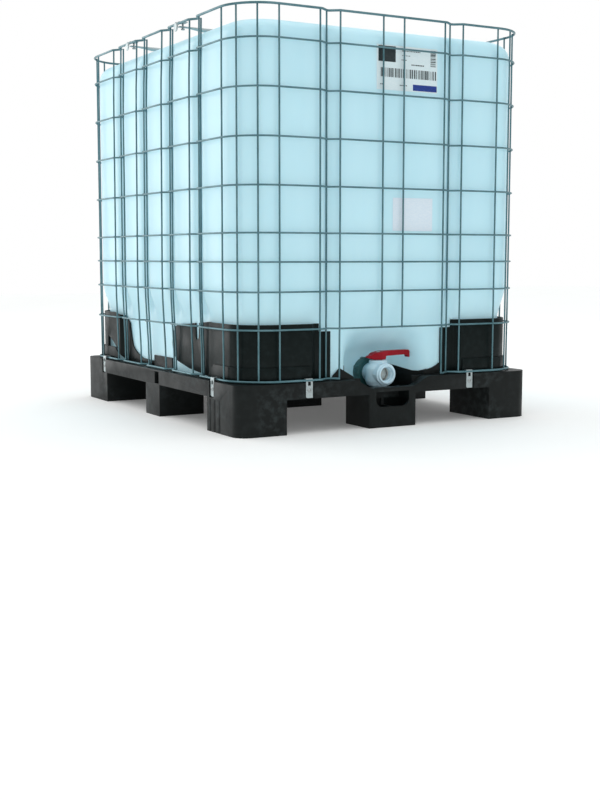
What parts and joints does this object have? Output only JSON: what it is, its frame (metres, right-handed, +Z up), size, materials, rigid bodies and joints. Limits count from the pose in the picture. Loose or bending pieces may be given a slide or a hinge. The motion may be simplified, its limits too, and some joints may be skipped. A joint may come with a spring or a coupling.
{
  "type": "intermediate bulk container",
  "caption": "Blow-moulded liquid tank in a welded wire cage on a moulded fork-lift pallet, with a lever ball valve in a recess at the foot of its front and a screw cap on top.",
  "frame": {"origin": "on the floor, under the middle of the pallet", "axes": "+Z up; the valve faces -Y; +X to the right of someone facing the valve; +Y runs along the 1200 mm sides to the back"},
  "size_m": [1, 1.2, 1.165],
  "materials": {
    "pallet": "black moulded polyethylene, satin, scuffed",
    "guard": "black moulded polyethylene sheet, satin",
    "bottle": "milky, slightly translucent blow-moulded polyethylene, satin",
    "cage": "galvanised wire, dull",
    "zinc": "zinc-plated pressed steel",
    "cap": "black moulded plastic, satin",
    "seal": "matt",
    "seat": "fluoropolymer, smooth",
    "valve": "white moulded polyethylene, semi-gloss",
    "lever": "crimson moulded plastic, semi-gloss",
    "nut": "green-black moulded plastic, satin",
    "label": "white printed film, satin"
  },
  "bodies": {
    "container": {"pallet": "pallet", "valve_bay_wall_left": "pallet", "valve_bay_wall_right": "pallet", "corner_guard_front_left": "guard", "corner_guard_back_right": "guard", "corner_guard_front_right": "guard", "corner_guard_back_left": "guard", "bottle": "bottle", "cage_front_upper": "cage", "cage_front_lower_left": "cage", "cage_front_lower_right": "cage", "cage_back": "cage", "cage_left": "cage", "cage_right": "cage", "cage_corner_front_left": "cage", "cage_corner_front_right": "cage", "cage_corner_back_left": "cage", "cage_corner_back_right": "cage", "clip_front_left": "zinc", "clip_left_front": "zinc", "clip_back_left": "zinc", "clip_left_back": "zinc", "clip_front_right": "zinc", "clip_right_front": "zinc", "clip_back_right": "zinc", "clip_right_back": "zinc", "clip_screw_front_left": "zinc", "clip_screw_left_front": "zinc", "clip_screw_back_left": "zinc", "clip_screw_left_back": "zinc", "clip_screw_front_right": "zinc", "clip_screw_right_front": "zinc", "clip_screw_back_right": "zinc", "clip_screw_right_back": "zinc", "tie_bar_front": "zinc", "tie_bar_back": "zinc", "tie_bar_saddle_front_left": "zinc", "tie_bar_saddle_front_right": "zinc", "tie_bar_saddle_back_left": "zinc", "tie_bar_saddle_back_right": "zinc", "tie_bar_bolt_front_left": "zinc", "tie_bar_bolt_front_right": "zinc", "tie_bar_bolt_back_left": "zinc", "tie_bar_bolt_back_right": "zinc", "stem_seal": "seal", "outlet_gasket": "seal", "ball_seat_outlet_side": "seat", "ball_seat_bottle_side": "seat", "valve_housing": "valve", "outlet_spout": "valve", "union_nut": "nut", "contents_label": "label", "blank_label": "label"},
    "valve_core": {"valve_lever": "lever", "lever_screw": "zinc", "valve_stem": "valve", "valve_ball": "valve"},
    "cap_seal": {"cap_gasket": "seal"},
    "cap": {"screw_cap": "cap", "vent_plug": "cap"}
  },
  "joints": [
    {"name": "lever_turn", "type": "hinge", "parent": "container", "child": "valve_core", "pos_m": [0, -0.52, 0.2], "axis": [0, 0, -1], "range_deg": [0, 90]},
    {"name": "cap_rise", "type": "slide", "parent": "container", "child": "cap_seal", "axis": [0, 0, 1], "range_m": [0, 0.024]},
    {"name": "cap_turn", "type": "hinge", "parent": "cap_seal", "child": "cap", "pos_m": [0, 0, 1.14], "axis": [0, 0, 1], "range_deg": [0, 1080]}
  ],
  "couplings": [
    {"joint": "cap_rise", "follows": "cap_turn", "m_per_rad": 0.001273}
  ]
}
